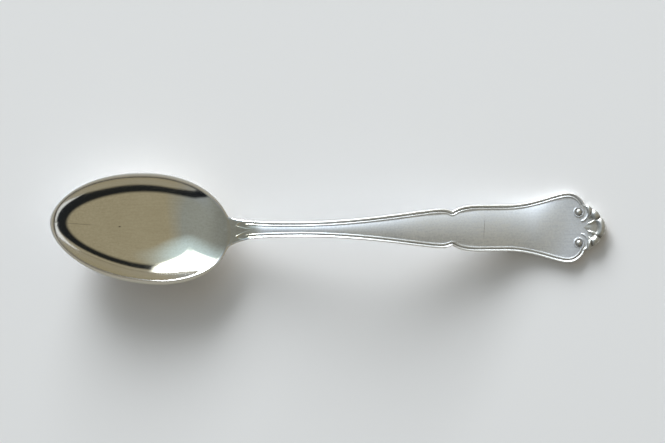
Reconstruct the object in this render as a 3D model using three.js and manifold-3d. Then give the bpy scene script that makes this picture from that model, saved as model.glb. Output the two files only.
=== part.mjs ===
// A silver coffee spoon: an egg-shaped bowl, a shouldered handle with a double-thread border,
// and a scallop shell between two scroll beads at the handle's end.
// Millimetres, +Z up, lying on the table plane. +X runs from the bowl along the handle.
// The pieces are drawn with the solder seam between bowl and handle at X = 0.
import * as THREE from "three";
import { mergeVertices } from "three/addons/utils/BufferGeometryUtils.js";
import Module from "manifold-3d";

const { clamp, degToRad, lerp, smoothstep } = THREE.MathUtils;

// Bowl, in plan
const BOWL_WIDTH = 24.0;
const TIP_REACH = 22.0; // from the widest place to the tip
const HEEL_REACH = 16.8; // from the widest place to where the egg closes at the neck
const HEEL_SQUARENESS = 2.1; // exponent of the heel's outline, 2 is an ellipse
const HEEL_GAP = 0.4; // from the closed egg to the solder seam
const EGG_BLEND = 6.0; // half the length over which heel and tip blend at the widest place
const SHOULDER_BLEND = 1.0; // how softly the egg runs into the neck
const BOWL_LEAN = 3.65; // degrees by which the bowl stands askew of the handle's line
const LEAN_PIVOT = 11.4; // from the seam back to where the bowl crosses the handle's line
const LEAN_EASE = 5.0; // half the length over which the lean dies out at the seam

// Bowl, from the side
const BOWL_DEPTH = 5.9;
const BOWL_FULLNESS = 0.1; // flatness of the hollow's floor, 0 is a plain parabola
const TIP_FULLNESS = 0.7; // the same towards the tip
const BOWL_PITCH = 6; // degrees by which the tip of the rim is raised
const BOWL_WALL = 0.75;
const RIM_WIDTH = 0.8;
const RIM_LEAST = 0.2; // what is left of the rim's width where the hollow runs out
const RIM_THICKNESS = 0.9;
const RIM_ROUND = 0.16;
const RIM_LEVEL = [0.35, 0.75]; // shares of the rim's width between which it is level
const RIM_DIP = 0.5; // sag of the rim between tip and neck
const RIM_EASE = 8.0; // length over which the rim turns into the handle's slope
const HEEL_RUN = 0.3; // how far the hollow runs past the closed egg
const RUNOUT_FROM = 0.3; // share of the heel's reach where the hollow starts to run out softly
const RUNOUT_WIDTH = 5.0; // how far to the sides it does
const DROP_LENGTH = 8.0; // the drop under the heel of the bowl
const DROP_TAPER = 0.4; // share by which the drop narrows

// Handle, in plan: lengths follow one another from the seam to the shell
const NECK_LENGTH = 14.0; // seam to the narrowest place
const TAPER_LENGTH = 31.2; // narrowest place to the shoulder's crown
const SHOULDER_LENGTH = 2.4; // shoulder's crown to the notch
const SWELL_LENGTH = 5.8; // notch to the full width of the blade
const BLADE_LENGTH = 5.9; // parallel part of the blade
const FLARE_LENGTH = 13.27; // blade to the widest place of the end
const CORNER_RADIUS = 3.9;
const CORNER_SWEEP = 72; // degrees of the corner's arc
const WAIST_WIDTH = 3.32;
const NECK_SPREAD = 0.68; // how much wider the neck is than the waist before its flare
const NECK_FLARE = 0.9; // the flare at the seam, each side
const NECK_FADE = 2.3; // length over which the flare dies away
const SHOULDER_WIDTH = 8.54;
const NOTCH_WIDTH = 7.48;
const BLADE_WIDTH = 10.1;
const END_WIDTH = 15.2;

// Curves between those places: how far each runs straight on as it leaves and arrives,
// in shares of its length, and how much it has turned there, in shares of its change of width
const TAPER_CURVE = { leave: 0.48, arrive: 0.115, leaveTurn: 0, arriveTurn: 0 };
const CROWN_CURVE = { leave: 0.5, arrive: 0.28, leaveTurn: 0, arriveTurn: 0.6 };
const SWELL_CURVE = { leave: 0.12, arrive: 0.65, leaveTurn: 0.32, arriveTurn: 0 };
const FLARE_CURVE = { leave: 0.45, arrive: 0.2, leaveTurn: 0, arriveTurn: 0 };

// Handle, from the side
const NECK_THICKNESS = 2.1;
const BLADE_THICKNESS = 1.25;
const NECK_BELLY = 0.8; // roundness of the stem's underside
const FIELD_SLOPE = 0.16; // slope of the rounded field at its sides
const NECK_RISE = 0.2; // slope of the stem as it leaves the bowl
const CREST_AT = 24.0; // seam to the top of the arch
const CREST_HEIGHT = 9.4;
const HANDLE_FALL = 0.2; // slope of the handle before it levels out
const BEND_LENGTH = 6.0; // length of the bend into the level end
const LEVEL_LENGTH = 7.0; // level end of the handle, up to the shell

// Double-thread border on the handle
const OUTER_THREAD = 0.5;
const THREAD_GROOVE = 0.22;
const INNER_THREAD = 0.4;
const OUTER_RISE = 0.17;
const INNER_RISE = 0.13;
const GROOVE_DEPTH = 0.06;
const EDGE_ROLL = 0.1; // how far the outer thread rolls over the edge
const THREADS_FROM = 3.6; // seam to the points where the threads begin
const THREADS_EASE = 1.2;
const THREADS_STOP = 1.45; // from the handle's end, where the threads die out at the scrolls
const BORDER_SHARE = 0.75; // most of the half width that the border may take
const LUG_RISE = 0.15; // raised lugs at the neck that hold the threads' points
const LUG_LENGTH = 3.6;
const CHANNEL_SHARE = [0.25, 0.5]; // shares of the half width where the channel's sides rise

// Shell: five fluted lobes that fan out from one point
const SHELL_SET_BACK = 2.48; // from the handle's end back to the fan's point
const SHELL_REACH = 7.0;
const SHELL_INNER = 2.2; // from the fan's point to the flutes
const SHELL_SIDE_INNER = 2.0; // how much shorter the flutes are at the fan's sides
const SHELL_SIDE_TURN = 0.8; // exponent of that shortening over the fan's angle
const SHELL_FLOOR = 0.2; // thickness of the flutes' floor
const RIDGE_RISE = 0.25; // slim ridges between the flutes
const RIDGE_WIDTH = 0.35; // share of half a flute that a ridge takes
const RIDGE_START = 0.4; // share of the reach where a ridge has its full height
const RIDGE_GATHER = 0.72; // how closely the ridges gather towards the fan's point
const KNOB_DEPTH = 1.6; // rounded knobs that end the flutes, from the edge inward
const LOBE_ROUNDNESS = 0.75; // exponent of a lobe's outline
const CENTRE_LOBE = { angle: 40.8, valley: 6.26, rise: 0.8 };
const MIDDLE_LOBE = { angle: 23.8, valley: 5.72, bulge: 0.28, rise: 0.7 };
const SIDE_LOBE = { angle: 16.8, valley: 5.58, bulge: 0.18, rise: 0.55 };
const TONGUE_INSET = 0.15; // the handle under the shell stays inside its outline
const TONGUE_ROOT = 0.8;

// Scroll beads beside the shell
const BEAD_RADIUS = 0.65;
const BEAD_RISE = 0.5;
const BEAD_SET_BACK = 1.28; // from the handle's end
const BEAD_SPREAD = 6.7; // between the two beads' centres

// Fineness of the facets
const RIM_STEPS = 30;
const NECK_STEPS = 16;
const TAPER_STEPS = 16;
const CROWN_STEPS = 6;
const SWELL_STEPS = 9;
const BLADE_STEPS = 3;
const FLARE_STEPS = 10;
const CORNER_STEPS = 12;
const SEAM_STEPS = 6;
const HOLLOW_STEPS = 11;
const FIELD_STEPS = 4;
const BELLY_STEPS = 6;
const LOBE_STEPS = 10;
const BEAD_STEPS = 16;
const BEAD_ROWS = 6;
const THREAD_SHARES = [0, 0.1, 0.32, 0.68, 0.9];
const FLUTE_SHARES = [1, 0.97, 0.92, 0.86, 0.78, 0.68, 0.57, 0.45, 0.3, 0.15, 0];

// Places that follow from the sizes
const WIDEST_X = -HEEL_GAP - HEEL_REACH;
const TIP_X = WIDEST_X - TIP_REACH;
const CROWN_X = NECK_LENGTH + TAPER_LENGTH;
const NOTCH_X = CROWN_X + SHOULDER_LENGTH;
const SWELL_X = NOTCH_X + SWELL_LENGTH;
const FLARE_X = SWELL_X + BLADE_LENGTH;
const CORNER_X = FLARE_X + FLARE_LENGTH;
const END_X = CORNER_X + CORNER_RADIUS * Math.sin(degToRad(CORNER_SWEEP));
const END_HALF = END_WIDTH / 2 - CORNER_RADIUS * (1 - Math.cos(degToRad(CORNER_SWEEP)));
const LEVEL_X = END_X - LEVEL_LENGTH;
const BEND_X = LEVEL_X - BEND_LENGTH;
const FAN_X = END_X - SHELL_SET_BACK;
const BORDER_WIDTH = OUTER_THREAD + THREAD_GROOVE + INNER_THREAD;
const SEAT_Z = BLADE_THICKNESS;

const wasm = await Module();
wasm.setup();

// Larger of two values, rounded over where they are within reach of each other
function softMax(a, b, reach) {
  const near = Math.max(0, reach - Math.abs(a - b));
  return Math.max(a, b) + (near * near) / (4 * reach);
}

// Height of a half circle over -1 to 1, and nothing beyond
function halfRound(place) {
  return Math.sqrt(Math.max(0, 1 - place * place));
}

// Cubic between two places with given heights and slopes
function ease(x, x0, z0, slope0, x1, z1, slope1) {
  const length = x1 - x0;
  const t = (x - x0) / length;
  const rise = t * t * (3 - 2 * t);
  const leave = t * (1 - t) * (1 - t) * length * slope0;
  const arrive = t * t * (t - 1) * length * slope1;
  return lerp(z0, z1, rise) + leave + arrive;
}

// Closed solid through rings of equally many points, with both ends capped.
// capPoint gives a ring's point in the plane of its cap.
function loft(rings, capPoint) {
  const count = rings[0].length;
  const positions = rings.flat().flatMap((p) => [p.x, p.y, p.z]);
  const triangles = [];
  for (let i = 0; i + 1 < rings.length; i++) {
    for (let k = 0; k < count; k++) {
      const next = (k + 1) % count;
      const a = i * count + k;
      const b = i * count + next;
      triangles.push(a, b, a + count, b, b + count, a + count);
    }
  }
  triangles.push(...capTriangles(rings[0].map(capPoint), true));
  const lastRing = (rings.length - 1) * count;
  const endCap = capTriangles(rings[rings.length - 1].map(capPoint), false);
  triangles.push(...endCap.map((index) => index + lastRing));
  return outwardGeometry(positions, triangles);
}

// Triangles that fill a flat outline, wound with its points or against them
function capTriangles(outline, against) {
  const outlineTurn = Math.sign(THREE.ShapeUtils.area(outline));
  return THREE.ShapeUtils.triangulateShape(outline, []).flatMap(([a, b, c]) => {
    const turn = Math.sign(THREE.ShapeUtils.area([outline[a], outline[b], outline[c]]));
    return (turn === outlineTurn) === against ? [a, c, b] : [a, b, c];
  });
}

// Geometry whose triangles all face out of the solid
function outwardGeometry(positions, triangles) {
  const corner = (index) => new THREE.Vector3().fromArray(positions, 3 * index);
  let volume = 0;
  for (let i = 0; i < triangles.length; i += 3) {
    const [a, b, c] = [triangles[i], triangles[i + 1], triangles[i + 2]].map(corner);
    volume += a.dot(b.cross(c));
  }
  const geometry = new THREE.BufferGeometry();
  geometry.setAttribute("position", new THREE.Float32BufferAttribute(positions, 3));
  geometry.setIndex(volume > 0 ? triangles : triangles.toReversed());
  return geometry;
}

function toSolid(geometry) {
  const bare = geometry.clone();
  bare.deleteAttribute("normal");
  bare.deleteAttribute("uv");
  const merged = mergeVertices(bare);
  const vertProperties = new Float32Array(merged.attributes.position.array);
  const triVerts = new Uint32Array(merged.index.array);
  return new wasm.Manifold(new wasm.Mesh({ numProp: 3, vertProperties, triVerts }));
}

function fromSolid(solid) {
  const mesh = solid.getMesh();
  const geometry = new THREE.BufferGeometry();
  geometry.setAttribute("position", new THREE.Float32BufferAttribute(mesh.vertProperties, 3));
  geometry.setIndex(new THREE.Uint32BufferAttribute(mesh.triVerts, 1));
  return geometry;
}

// The bowl leans to one side of the handle's line, easing back to it through the neck
function lean(x) {
  const held = 1 - smoothstep(x, -LEAN_EASE, LEAN_EASE);
  return Math.tan(degToRad(BOWL_LEAN)) * (-LEAN_PIVOT - x) * held;
}

function leaned(x, y, z) {
  return new THREE.Vector3(x, y + lean(x), z);
}

// Half width of the neck and stem up to the narrowest place
function neckHalf(x) {
  const spread = (NECK_SPREAD / 2) * (1 - x / NECK_LENGTH) ** 2;
  return WAIST_WIDTH / 2 + spread + NECK_FLARE * Math.exp(-x / NECK_FADE);
}

// 0 on the heel's side of the widest place, 1 on the tip's, blended across it
function towardTip(x) {
  return smoothstep(WIDEST_X - x, -EGG_BLEND, EGG_BLEND);
}

// Half width of the egg: an ellipse to the tip, a squarer curve to the heel
function eggHalf(x) {
  const along = clamp((x - WIDEST_X) / lerp(HEEL_REACH, TIP_REACH, towardTip(x)), -1, 1);
  const power = lerp(2, HEEL_SQUARENESS, smoothstep(along, 0, 0.5));
  return (BOWL_WIDTH / 2) * (1 - Math.abs(along) ** power) ** (1 / power);
}

function bowlHalf(x) {
  if (x < WIDEST_X) return eggHalf(x);
  return softMax(eggHalf(x), neckHalf(Math.max(x, -NECK_FADE)), SHOULDER_BLEND);
}

// Depth as a share of the full depth, from 1 in the middle to 0 at the edge and less beyond.
// The floor is flatter towards the tip, and runs out softly at the neck.
function hollowShare(x, y, rim, run) {
  const toTip = towardTip(x);
  const along = (x - WIDEST_X) / lerp(HEEL_REACH + run, TIP_REACH - rim, toTip);
  const across = y / (BOWL_WIDTH / 2 - rim);
  const within = 1 - along * along - across * across;
  const fullness = BOWL_FULLNESS * (1 - within) + (TIP_FULLNESS - BOWL_FULLNESS) * toTip * along * along;
  const bare = within * (1 + fullness);
  const nearNeck = smoothstep((x - WIDEST_X) / HEEL_REACH, RUNOUT_FROM, 1);
  const softness = nearNeck * Math.exp(-((y / RUNOUT_WIDTH) ** 2));
  return bare > 0 ? bare ** (1 + softness) : bare;
}

const insideDepth = (x, y) => BOWL_DEPTH * Math.max(0, hollowShare(x, y, RIM_WIDTH, HEEL_RUN));

// Height of the rim over the neck, with the slope of the handle at the seam
function rimRise(x) {
  const along = clamp(x / TIP_X, 0, 1);
  const line = -Math.tan(degToRad(BOWL_PITCH)) * x - RIM_DIP * 4 * along * (1 - along);
  const slope = -Math.tan(degToRad(BOWL_PITCH)) - (RIM_DIP * 4) / TIP_X;
  const near = clamp(1 + x / RIM_EASE, 0, 1);
  return line + (NECK_RISE - slope) * x * near * near;
}

// The rim thickens to the neck's edge
function edgeThickness(x) {
  return lerp(NECK_THICKNESS - NECK_BELLY, RIM_THICKNESS, smoothstep(-x, 0, DROP_LENGTH));
}

// The drop: the neck's rounded underside running out under the heel
function dropDepth(x, y) {
  const along = clamp(-x / DROP_LENGTH, 0, 1);
  const half = bowlHalf(0) * (1 - DROP_TAPER * along);
  return NECK_BELLY * (1 - along) * Math.max(0, 1 - (y / half) ** 2) ** (1 + along);
}

// Depth of the bowl's outside below the rim
function outsideDepth(x, y) {
  const edge = edgeThickness(x);
  const share = Math.max(0, hollowShare(x, y, 0, HEEL_GAP));
  return edge + (BOWL_DEPTH + BOWL_WALL - edge) * share + dropDepth(x, y);
}

// Height of the neck that lets the bowl's lowest place touch the table
function heightOfNeck() {
  const steps = 400;
  let height = 0;
  for (let i = 0; i <= steps; i++) {
    const x = (TIP_X * i) / steps;
    height = Math.max(height, outsideDepth(x, 0) - rimRise(x));
  }
  return height;
}

const NECK_Z = heightOfNeck();

// Outline of the bowl from the tip round to the tip, with the seam as a straight stretch
function bowlOutline() {
  const side = [];
  for (let i = 1; i <= RIM_STEPS; i++) {
    const x = (TIP_X * (1 + Math.cos((Math.PI * i) / RIM_STEPS))) / 2;
    side.push(new THREE.Vector2(x, bowlHalf(x)));
  }
  const seam = [];
  for (let i = 1; i < SEAM_STEPS; i++) {
    seam.push(new THREE.Vector2(0, bowlHalf(0) * (1 - (2 * i) / SEAM_STEPS)));
  }
  const back = side.map((p) => new THREE.Vector2(p.x, -p.y)).reverse();
  return [new THREE.Vector2(TIP_X, 0), ...side, ...seam, ...back];
}

// The place where the hollow ends on the way from the widest place to a point of the outline
function hollowEdge(point) {
  const at = (share) => new THREE.Vector2(WIDEST_X, 0).lerp(point, share);
  let inside = 0;
  let outside = 1 - RIM_LEAST / at(0).distanceTo(point);
  for (let i = 0; i < 30; i++) {
    const middle = (inside + outside) / 2;
    const { x, y } = at(middle);
    if (hollowShare(x, y, RIM_WIDTH, HEEL_RUN) > 0) inside = middle;
    else outside = middle;
  }
  return at(outside);
}

// Rings from the middle of the hollow out over the rim and back under the bowl
function makeBowl() {
  const outline = bowlOutline();
  const middle = outline.map(() => new THREE.Vector2(WIDEST_X, 0));
  const edge = outline.map(hollowEdge);
  const rimZ = (x) => NECK_Z + rimRise(x);
  const ring = (from, to, share, depth) =>
    from.map((start, k) => {
      const { x, y } = start.clone().lerp(to[k], share);
      return leaned(x, y, rimZ(x) - depth(x, y));
    });
  const rimRoll = (x, y) => {
    const inFromSide = x < 0 ? 0 : bowlHalf(0) - Math.abs(y);
    return RIM_ROUND * Math.max(0, 1 - inFromSide / OUTER_THREAD) ** 2;
  };
  const rings = [];
  for (let i = 1; i <= HOLLOW_STEPS; i++) rings.push(ring(middle, edge, i / HOLLOW_STEPS, insideDepth));
  for (const share of RIM_LEVEL) rings.push(ring(edge, outline, share, insideDepth));
  rings.push(ring(edge, outline, 1, rimRoll));
  for (let i = HOLLOW_STEPS; i >= 1; i--) {
    rings.push(ring(middle, outline, i / HOLLOW_STEPS, outsideDepth));
  }
  return loft(rings, (p) => new THREE.Vector2(p.x, p.y));
}

// One stretch of the handle's outline, between two places with given widths
function stretch(x0, width0, x1, width1, curve, steps) {
  const at = (x, width) => new THREE.Vector2(x, width / 2);
  const length = x1 - x0;
  const change = width1 - width0;
  const leave = at(x0 + curve.leave * length, width0 + curve.leaveTurn * change);
  const arrive = at(x1 - curve.arrive * length, width1 - curve.arriveTurn * change);
  const bezier = new THREE.CubicBezierCurve(at(x0, width0), leave, arrive, at(x1, width1));
  return bezier.getPoints(steps).slice(1);
}

// Outline of one side of the handle, from the seam to the shell
function handleOutline() {
  const neck = [];
  const flareLeft = NECK_FLARE * Math.exp(-NECK_LENGTH / NECK_FADE);
  for (let i = 0; i <= NECK_STEPS; i++) {
    const share = i / NECK_STEPS;
    const x = NECK_LENGTH * share * lerp(share, 1, share);
    neck.push(new THREE.Vector2(x, neckHalf(x) - flareLeft * share));
  }
  const turn = degToRad(CORNER_SWEEP);
  const corner = new THREE.EllipseCurve(
    CORNER_X, END_WIDTH / 2 - CORNER_RADIUS, CORNER_RADIUS, CORNER_RADIUS,
    Math.PI / 2, Math.PI / 2 - turn, true,
  );
  const straight = { leave: 0, arrive: 0, leaveTurn: 0, arriveTurn: 0 };
  return [
    ...neck,
    ...stretch(NECK_LENGTH, WAIST_WIDTH, CROWN_X, SHOULDER_WIDTH, TAPER_CURVE, TAPER_STEPS),
    ...stretch(CROWN_X, SHOULDER_WIDTH, NOTCH_X, NOTCH_WIDTH, CROWN_CURVE, CROWN_STEPS),
    ...stretch(NOTCH_X, NOTCH_WIDTH, SWELL_X, BLADE_WIDTH, SWELL_CURVE, SWELL_STEPS),
    ...stretch(SWELL_X, BLADE_WIDTH, FLARE_X, BLADE_WIDTH, straight, BLADE_STEPS),
    ...stretch(FLARE_X, BLADE_WIDTH, CORNER_X, END_WIDTH, FLARE_CURVE, FLARE_STEPS),
    ...corner.getPoints(CORNER_STEPS).slice(1),
  ];
}

// Height of the handle's field along its length
function fieldZ(x) {
  if (x < CREST_AT) return ease(x, 0, NECK_Z, NECK_RISE, CREST_AT, CREST_HEIGHT, 0);
  const bendZ = SEAT_Z + (HANDLE_FALL * BEND_LENGTH) / 2;
  if (x < BEND_X) return ease(x, CREST_AT, CREST_HEIGHT, 0, BEND_X, bendZ, -HANDLE_FALL);
  if (x < LEVEL_X) return ease(x, BEND_X, bendZ, -HANDLE_FALL, LEVEL_X, SEAT_Z, 0);
  return SEAT_Z;
}

function undersideZ(x, across) {
  const along = smoothstep(x, 0, LEVEL_X);
  const thickness = lerp(NECK_THICKNESS, BLADE_THICKNESS, along);
  const belly = lerp(NECK_BELLY, 0, along);
  return fieldZ(x) - thickness + belly * across * across;
}

// Places across the border, as distances from the handle's edge
function borderPlaces() {
  const inner = OUTER_THREAD + THREAD_GROOVE;
  return [
    ...THREAD_SHARES.map((share) => share * OUTER_THREAD),
    OUTER_THREAD + THREAD_GROOVE / 2,
    ...THREAD_SHARES.map((share) => inner + share * INNER_THREAD),
    BORDER_WIDTH,
  ];
}

// Height of the border over the field: two half-round threads with a groove between
function threadRise(distance) {
  const inner = OUTER_THREAD + THREAD_GROOVE;
  if (distance < OUTER_THREAD) return OUTER_RISE * halfRound((2 * distance) / OUTER_THREAD - 1);
  if (distance < inner) return -GROOVE_DEPTH;
  return INNER_RISE * halfRound((2 * (distance - inner)) / INNER_THREAD - 1);
}

function edgeRoll(distance) {
  return EDGE_ROLL * Math.max(0, 1 - (2 * distance) / OUTER_THREAD) ** 2;
}

// Lugs beside the channel that runs from the stem into the bowl
function lugRise(x, share) {
  const along = Math.sin(Math.PI * clamp(x / LUG_LENGTH, 0, 1)) ** 2;
  return LUG_RISE * along * smoothstep(share, ...CHANNEL_SHARE);
}

// Sections of the handle from the seam to its end. The border follows the outline inward,
// and the first and last sections lie square across the handle.
function handleSections() {
  const outline = handleOutline();
  const last = outline.length - 1;
  const places = borderPlaces();
  const lateral = new THREE.Vector2(0, -1);
  const stopX = END_X - THREADS_STOP;
  return outline.map((p, i) => {
    const before = outline[Math.max(i - 1, 0)];
    const tangent = outline[Math.min(i + 1, last)].clone().sub(before).normalize();
    const stopped = smoothstep(p.x, stopX, END_X);
    const square = Math.max(1 - smoothstep(p.x, 0, NECK_FADE), stopped);
    const inward = new THREE.Vector2(tangent.y, -tangent.x).lerp(lateral, square).normalize();
    const scale = Math.min(1, (BORDER_SHARE * p.y) / BORDER_WIDTH);
    const begun = smoothstep(p.x, THREADS_FROM - THREADS_EASE, THREADS_FROM + THREADS_EASE);
    const raised = begun * (1 - stopped);
    const border = places.map((distance) => {
      const q = p.clone().addScaledVector(inward, distance * scale);
      const relief = threadRise(distance) * raised - edgeRoll(distance) + lugRise(q.x, q.y / p.y);
      return new THREE.Vector3(q.x, q.y, fieldZ(q.x) + relief);
    });
    const inside = border[border.length - 1];
    const crown = (FIELD_SLOPE / 2) * inside.y * begun * (1 - smoothstep(p.x, BEND_X, LEVEL_X));
    const field = [];
    for (let k = 1; k < FIELD_STEPS; k++) {
      const across = 1 - (2 * k) / FIELD_STEPS;
      const lug = lugRise(inside.x, (Math.abs(across) * inside.y) / p.y);
      const z = fieldZ(inside.x) + crown * (1 - across * across) + lug;
      field.push(new THREE.Vector3(inside.x, across * inside.y, z));
    }
    const belly = [];
    for (let k = 0; k <= BELLY_STEPS; k++) {
      const across = (2 * k) / BELLY_STEPS - 1;
      belly.push(new THREE.Vector3(p.x, across * p.y, undersideZ(p.x, across)));
    }
    const mirrored = border.map((q) => new THREE.Vector3(q.x, -q.y, q.z)).reverse();
    return [...border, ...field, ...mirrored, ...belly].map((q) => leaned(q.x, q.y, q.z));
  });
}

// Lobes of the shell from one side of the fan to the other
function shellLobes() {
  const { valley, rise } = CENTRE_LOBE;
  const half = CENTRE_LOBE.angle / 2;
  const bulge = SHELL_REACH - valley;
  const lobes = [{ from: -half, to: half, fromValley: valley, toValley: valley, bulge, rise }];
  let edge = half;
  let near = valley;
  for (const { angle, valley: far, ...form } of [MIDDLE_LOBE, SIDE_LOBE]) {
    lobes.push({ from: edge, to: edge + angle, fromValley: near, toValley: far, ...form });
    lobes.unshift({ from: -edge - angle, to: -edge, fromValley: far, toValley: near, ...form });
    edge += angle;
    near = far;
  }
  return lobes;
}

// Rays of the fan: direction, reach, and place across the lobe from -1 to 1
function shellRays() {
  const lobes = shellLobes();
  return lobes.flatMap((lobe, index) => {
    const rays = [];
    for (let i = index === 0 ? 0 : 1; i <= LOBE_STEPS; i++) {
      const across = -Math.cos((Math.PI * i) / LOBE_STEPS);
      const share = (across + 1) / 2;
      const chord = lerp(lobe.fromValley, lobe.toValley, share);
      rays.push({
        angle: degToRad(lerp(lobe.from, lobe.to, share)),
        reach: chord + lobe.bulge * Math.max(0, 1 - across * across) ** LOBE_ROUNDNESS,
        across,
        rise: lobe.rise,
      });
    }
    return rays;
  });
}

// Height of the shell over its seat: flutes between slim ridges, ending in rounded knobs
function shellHeight(out, fromEdge, across, rise) {
  const ridge = RIDGE_RISE * halfRound(Math.min(1, (1 - Math.abs(across)) / RIDGE_WIDTH));
  const knob = rise * halfRound(1 - (2 * fromEdge) / KNOB_DEPTH) * halfRound(across);
  return SHELL_FLOOR + Math.max(ridge * smoothstep(out, 0, RIDGE_START) * (1 - out * out), knob);
}

function makeShell() {
  const rays = shellRays();
  const widest = Math.max(...rays.map((ray) => ray.angle));
  const sections = rays.map(({ angle, reach, across, rise }) => {
    const inner = SHELL_INNER + SHELL_SIDE_INNER * Math.abs(angle / widest) ** SHELL_SIDE_TURN;
    const at = (out, height) => {
      const radius = lerp(inner, reach, out);
      const turn = angle * lerp(RIDGE_GATHER, 1, smoothstep(out, 0, 1));
      return new THREE.Vector3(FAN_X + radius * Math.cos(turn), radius * Math.sin(turn), SEAT_Z + height);
    };
    const top = FLUTE_SHARES.map((out) => {
      const fromEdge = (1 - out) * (reach - inner);
      return at(out, shellHeight(out, fromEdge, across, rise));
    });
    return [at(0, 0), at(1, 0), ...top];
  });
  return loft(sections, (p) => new THREE.Vector2(Math.hypot(p.x - FAN_X, p.y), p.z));
}

// Tongue of the handle under the shell
function makeTongue() {
  const half = END_HALF - OUTER_THREAD;
  const shape = new THREE.Shape();
  shape.moveTo(END_X - TONGUE_ROOT, -half);
  shape.lineTo(END_X, -half);
  for (const { angle, reach } of shellRays()) {
    const radius = reach - TONGUE_INSET;
    const x = FAN_X + radius * Math.cos(angle);
    if (x > END_X) shape.lineTo(x, radius * Math.sin(angle));
  }
  shape.lineTo(END_X, half);
  shape.lineTo(END_X - TONGUE_ROOT, half);
  return new THREE.ExtrudeGeometry(shape, { depth: SEAT_Z, bevelEnabled: false });
}

function makeHandle() {
  const blade = loft(handleSections(), (p) => new THREE.Vector2(p.y, p.z));
  return fromSolid(toSolid(blade).add(toSolid(makeTongue())));
}

// Domed bead with a flat seat
function makeBead() {
  const profile = [new THREE.Vector2(0, 0), new THREE.Vector2(BEAD_RADIUS, 0)];
  for (let i = 1; i <= BEAD_ROWS; i++) {
    const turn = (i / BEAD_ROWS) * (Math.PI / 2);
    const radius = i === BEAD_ROWS ? 0 : BEAD_RADIUS * Math.cos(turn);
    profile.push(new THREE.Vector2(radius, BEAD_RISE * Math.sin(turn)));
  }
  const bead = new THREE.LatheGeometry(profile, BEAD_STEPS);
  return bead.rotateX(Math.PI / 2);
}

const silver = (roughness) =>
  new THREE.MeshStandardMaterial({ color: 0xd9d6cc, metalness: 1, roughness });

function addPiece(group, name, geometry, roughness, place = new THREE.Vector3()) {
  const piece = new THREE.Mesh(geometry, silver(roughness));
  piece.name = name;
  piece.position.copy(place);
  group.add(piece);
}

const spoon = new THREE.Group();
addPiece(spoon, "bowl", makeBowl(), 0.12);
addPiece(spoon, "handle", makeHandle(), 0.28);
addPiece(spoon, "shell_finial", makeShell(), 0.25);
for (const [name, side] of [["left_scroll_bead", -1], ["right_scroll_bead", 1]]) {
  const seat = new THREE.Vector3(END_X - BEAD_SET_BACK, (side * BEAD_SPREAD) / 2, SEAT_Z);
  addPiece(spoon, name, makeBead(), 0.22, seat);
}

// The origin is at the middle of the spoon's box, on the table
const box = new THREE.Box3().setFromObject(spoon, true);
const middle = box.getCenter(new THREE.Vector3());
spoon.position.set(-middle.x, -middle.y, -box.min.z);

export default spoon;
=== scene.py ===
# A silver coffee spoon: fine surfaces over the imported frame, worn silver, a studio and a camera.
import math

import bmesh
import bpy
import numpy as np
from mathutils import Euler, Matrix, Vector


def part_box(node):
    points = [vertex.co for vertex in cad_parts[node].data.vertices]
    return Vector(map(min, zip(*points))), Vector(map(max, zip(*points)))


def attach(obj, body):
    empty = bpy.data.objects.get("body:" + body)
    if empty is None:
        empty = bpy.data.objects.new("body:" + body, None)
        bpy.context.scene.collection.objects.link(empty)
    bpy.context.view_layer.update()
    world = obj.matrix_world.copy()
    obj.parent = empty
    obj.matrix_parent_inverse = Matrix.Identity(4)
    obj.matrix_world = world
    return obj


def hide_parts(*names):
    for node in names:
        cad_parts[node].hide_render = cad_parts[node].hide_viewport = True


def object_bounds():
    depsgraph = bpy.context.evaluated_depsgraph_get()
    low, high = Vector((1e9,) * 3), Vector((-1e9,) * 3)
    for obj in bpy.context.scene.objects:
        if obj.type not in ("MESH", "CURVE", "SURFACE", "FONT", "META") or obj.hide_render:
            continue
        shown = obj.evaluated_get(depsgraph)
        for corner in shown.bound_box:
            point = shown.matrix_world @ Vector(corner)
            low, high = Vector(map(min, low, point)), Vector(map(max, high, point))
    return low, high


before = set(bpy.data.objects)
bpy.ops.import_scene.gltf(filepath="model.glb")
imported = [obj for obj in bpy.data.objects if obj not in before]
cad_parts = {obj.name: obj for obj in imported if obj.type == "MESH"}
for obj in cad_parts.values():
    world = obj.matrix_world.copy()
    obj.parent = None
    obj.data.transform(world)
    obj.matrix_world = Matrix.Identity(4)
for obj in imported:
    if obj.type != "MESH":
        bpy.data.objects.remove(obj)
cad_low, cad_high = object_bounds()

# Shapes are drawn in millimetres, along x from the seam between bowl and handle, and set in the
# frame in metres. A pair of places is where something begins and where it is complete.
MM = 0.001

bowl_low, bowl_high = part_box("bowl")
handle_low, handle_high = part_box("handle")
bead_low, bead_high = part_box("right_scroll_bead")
shell_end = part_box("shell_finial")[1].x
SEAM = Vector((bowl_high.x, (handle_low.y + handle_high.y) / 2, 0))

# Bowl, in plan
BOWL_WIDTH = 24.0
HEEL_REACH = 16.8
HEEL_GAP = 0.4
ELLIPSE = 2.0
HEEL_SQUARENESS = 2.1
HEEL_SQUARING = (0, 0.5)
TIP_SQUARENESS = 1.9
TIP_SQUARING = (0.3, 1)
EGG_BLEND = 6.0
SHOULDER_BLEND = 1.0
BOWL_LEAN = math.radians(3.65)
LEAN_PIVOT = 11.4
LEAN_EASE = 5.0
NECK_BEGINS = (-6.0, -1.5)
TIP_X = (bowl_low.x - SEAM.x) / MM
WIDEST_X = -HEEL_GAP - HEEL_REACH
TIP_REACH = WIDEST_X - TIP_X

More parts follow.
